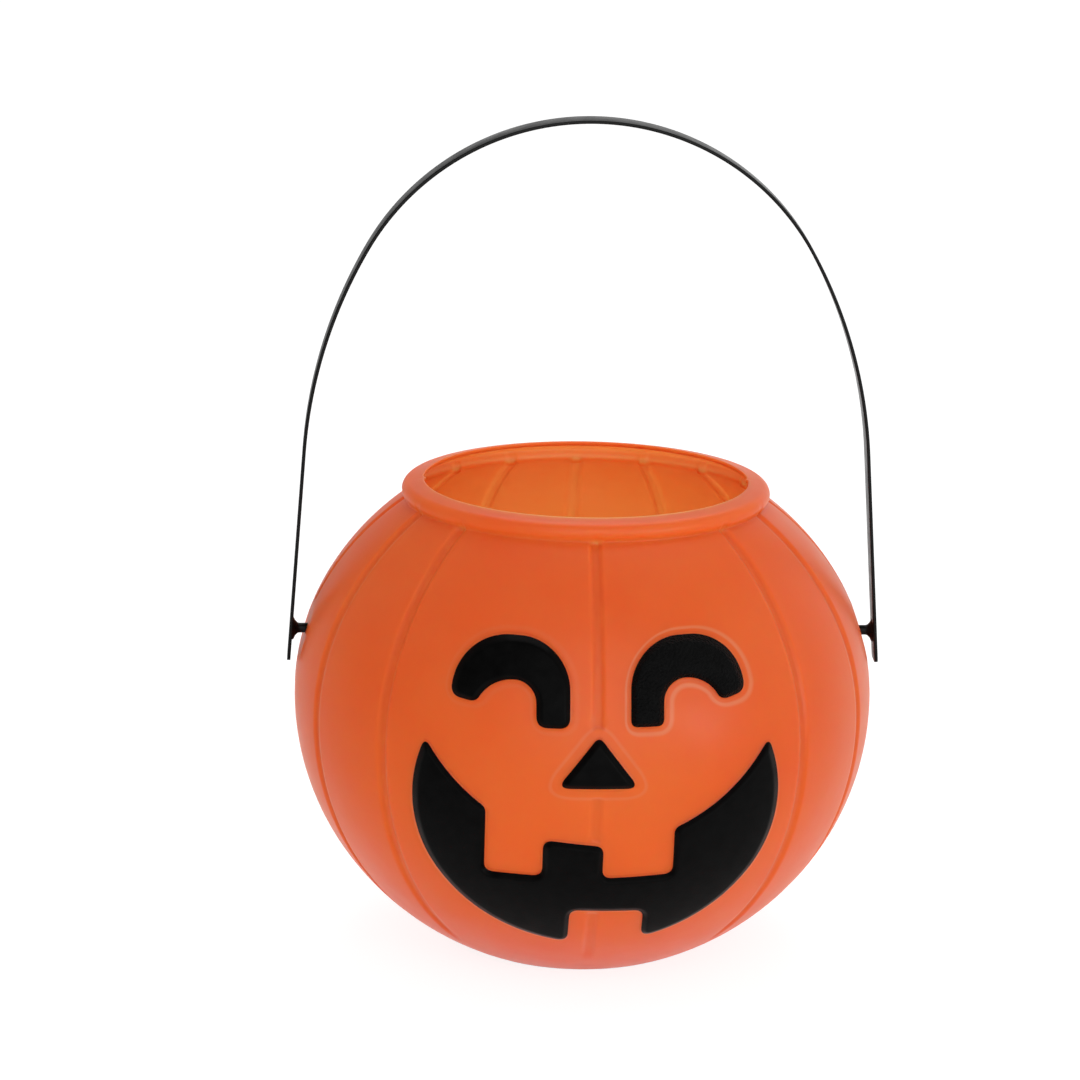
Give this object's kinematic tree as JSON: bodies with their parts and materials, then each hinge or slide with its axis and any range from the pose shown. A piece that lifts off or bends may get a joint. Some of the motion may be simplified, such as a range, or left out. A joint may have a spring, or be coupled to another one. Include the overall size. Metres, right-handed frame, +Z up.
{
  "type": "pumpkin candy pail",
  "caption": "Round orange pumpkin pail with moulded grooves, a raised black smiling face, a hollow bead round its open mouth and a black strap handle that swings on snap pegs.",
  "frame": {"origin": "middle of the foot ring, on the surface that the pail stands on", "axes": "+Z up, the face looks along -Y, the handle's pegs lie along X"},
  "size_m": [0.1746, 0.1718, 0.247],
  "materials": {
    "orange_shell": "satin blown polyethylene, slightly translucent",
    "face_paint": "satin black paint",
    "handle_plastic": "semi-gloss moulded black plastic"
  },
  "bodies": {
    "pail": {"pail_shell": "orange_shell", "left_eye_coat": "face_paint", "right_eye_coat": "face_paint", "nose_coat": "face_paint", "mouth_coat": "face_paint"},
    "handle": {"handle_strap": "handle_plastic"}
  },
  "joints": [
    {"name": "handle_swing", "type": "hinge", "parent": "pail", "child": "handle", "pos_m": [0, 0, 0.095], "axis": [1, 0, 0], "range_deg": [-125, 125]}
  ]
}
